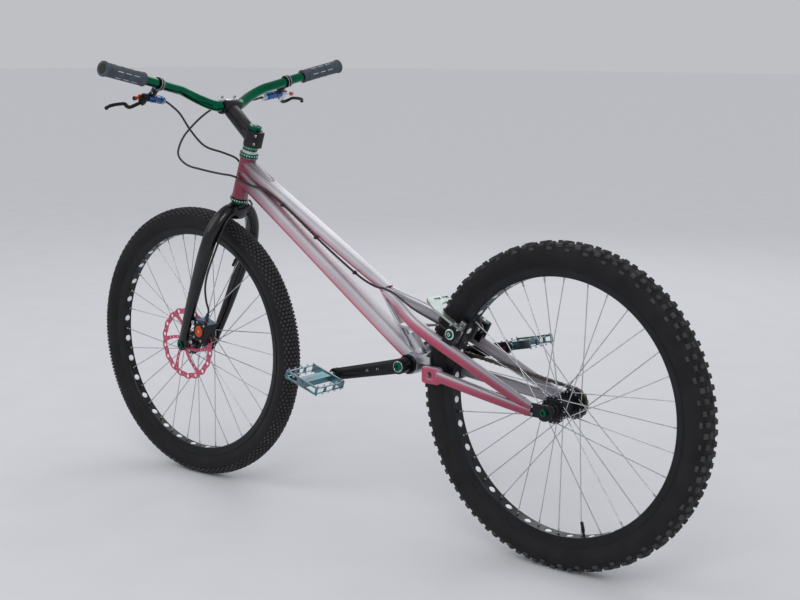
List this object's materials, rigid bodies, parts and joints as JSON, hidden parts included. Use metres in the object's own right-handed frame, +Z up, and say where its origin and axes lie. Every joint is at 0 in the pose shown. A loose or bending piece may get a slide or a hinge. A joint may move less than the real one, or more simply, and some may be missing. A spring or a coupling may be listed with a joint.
{
  "type": "trials bike",
  "caption": "Seatless trials bicycle with a low swept frame, rigid disc fork, riser handlebar, block tyres, rim brake at the back and chain drive.",
  "frame": {"origin": "on the ground, midway between the front of the front tyre and the back of the rear tyre, in the bike's middle plane", "axes": "+X runs forward along the bike, +Y to the rider's left, +Z up"},
  "size_m": [1.755, 0.7734, 1.0303],
  "materials": {
    "frame": "satin silver fading to rose",
    "machined_alloy": "machined",
    "green_anodised": "glossy green anodised",
    "black_alloy": "gloss black",
    "tyre_rubber": "matt",
    "grip_rubber": "matt",
    "rim_black": "satin black",
    "rim_strip": "smooth white tape",
    "steel": "brushed",
    "rotor": "satin rose",
    "stem_grey": "satin dark grey",
    "pedal_alloy": "satin",
    "booster_alloy": "machined",
    "blue_alloy": "anodised",
    "hose": "smooth",
    "brake_pad": "matt"
  },
  "bodies": {
    "frame": {"head_tube": "frame", "top_tube": "frame", "down_tube": "frame", "bottom_bracket_yoke": "machined_alloy", "seat_tube": "frame", "seat_stay_left": "frame", "seat_stay_right": "frame", "chain_stay_left": "frame", "chain_stay_right": "frame", "dropout_left": "black_alloy", "dropout_right": "black_alloy", "chain_tug_left": "black_alloy", "chain_tug_right": "black_alloy", "upper_headset_cup": "green_anodised", "lower_headset_cup": "green_anodised", "bottom_bracket_cup_left": "black_alloy", "bottom_bracket_cup_right": "black_alloy", "brake_booster": "booster_alloy", "rear_cylinder_left": "black_alloy", "rear_cylinder_right": "black_alloy", "rear_brake_hose": "hose", "chain": "steel", "rear_axle": "green_anodised"},
    "steering": {"fork": "black_alloy", "stem": "stem_grey", "stem_face_plate": "machined_alloy", "top_cap": "green_anodised", "handlebar": "green_anodised", "grip_left": "grip_rubber", "grip_right": "grip_rubber", "master_cylinder_left": "blue_alloy", "master_cylinder_right": "blue_alloy", "front_brake_hose": "hose", "rear_hose_loop": "hose", "front_caliper": "black_alloy", "front_axle": "green_anodised"},
    "brake_lever_left": {"brake_lever_left": "black_alloy"},
    "brake_lever_right": {"brake_lever_right": "black_alloy"},
    "front_pad_left": {"front_pad_left": "brake_pad"},
    "front_pad_right": {"front_pad_right": "brake_pad"},
    "front_wheel": {"front_tyre": "tyre_rubber", "front_rim": "rim_black", "front_rim_strip": "rim_strip", "front_hub": "black_alloy", "front_rotor": "rotor"},
    "rear_wheel": {"rear_tyre": "tyre_rubber", "rear_rim": "rim_black", "rear_rim_strip": "rim_strip", "rear_hub": "black_alloy", "rear_sprocket": "steel"},
    "cranks": {"crank_axle": "steel", "crank_left": "black_alloy", "crank_right": "black_alloy", "pedal_axle_left": "steel", "pedal_axle_right": "steel"},
    "freewheel": {"freewheel_sprocket": "steel"},
    "pedal_left": {"pedal_left": "pedal_alloy"},
    "pedal_right": {"pedal_right": "pedal_alloy"},
    "rear_pad_left": {"rear_pad_left": "brake_pad"},
    "rear_pad_right": {"rear_pad_right": "brake_pad"}
  },
  "joints": [
    {"name": "steering_turn", "type": "hinge", "parent": "frame", "child": "steering", "pos_m": [0.38812, 0, 0.70675], "axis": [-0.309, 0, 0.9511], "range_deg": [-75, 75], "deforming": ["rear_hose_loop"]},
    {"name": "front_wheel_spin", "type": "hinge", "parent": "steering", "child": "front_wheel", "pos_m": [0.5415, 0, 0.336], "axis": [0, 1, 0], "continuous": true},
    {"name": "rear_wheel_spin", "type": "hinge", "parent": "frame", "child": "rear_wheel", "pos_m": [-0.5365, 0, 0.341], "axis": [0, 1, 0], "continuous": true},
    {"name": "crank_spin", "type": "hinge", "parent": "frame", "child": "cranks", "pos_m": [-0.1645, 0, 0.384], "axis": [0, 1, 0], "continuous": true},
    {"name": "freewheel_spin", "type": "hinge", "parent": "frame", "child": "freewheel", "pos_m": [-0.1645, -0.0435, 0.384], "axis": [0, 1, 0], "continuous": true},
    {"name": "pedal_left_spin", "type": "hinge", "parent": "cranks", "child": "pedal_left", "pos_m": [0.00602, 0.153, 0.34463], "axis": [0, 1, 0], "continuous": true},
    {"name": "pedal_right_spin", "type": "hinge", "parent": "cranks", "child": "pedal_right", "pos_m": [-0.33502, -0.153, 0.42337], "axis": [0, 1, 0], "continuous": true},
    {"name": "brake_lever_left_pull", "type": "hinge", "parent": "steering", "child": "brake_lever_left", "pos_m": [0.46954, 0.226, 0.93693], "axis": [0.7071, 0, 0.7071], "range_deg": [0, 18], "stiffness_Nm_per_rad": 1.2, "springref_deg": -5.73},
    {"name": "brake_lever_right_pull", "type": "hinge", "parent": "steering", "child": "brake_lever_right", "pos_m": [0.46954, -0.226, 0.93693], "axis": [-0.7071, 0, -0.7071], "range_deg": [0, 18], "stiffness_Nm_per_rad": 1.2, "springref_deg": -5.73},
    {"name": "front_pad_left_slide", "type": "slide", "parent": "steering", "child": "front_pad_left", "axis": [0, -1, 0], "range_m": [0, 0.0004]},
    {"name": "front_pad_right_slide", "type": "slide", "parent": "steering", "child": "front_pad_right", "axis": [0, 1, 0], "range_m": [0, 0.0004]},
    {"name": "rear_pad_left_slide", "type": "slide", "parent": "frame", "child": "rear_pad_left", "axis": [0, -1, 0], "range_m": [0, 0.0014]},
    {"name": "rear_pad_right_slide", "type": "slide", "parent": "frame", "child": "rear_pad_right", "axis": [0, 1, 0], "range_m": [0, 0.0014]}
  ],
  "couplings": [
    {"joint": "freewheel_spin", "follows": "rear_wheel_spin", "ratio": 0.83333},
    {"joint": "front_pad_left_slide", "follows": "brake_lever_left_pull", "m_per_rad": 0.00127},
    {"joint": "front_pad_right_slide", "follows": "brake_lever_left_pull", "m_per_rad": 0.00127},
    {"joint": "rear_pad_left_slide", "follows": "brake_lever_right_pull", "m_per_rad": 0.00445},
    {"joint": "rear_pad_right_slide", "follows": "brake_lever_right_pull", "m_per_rad": 0.00445}
  ]
}
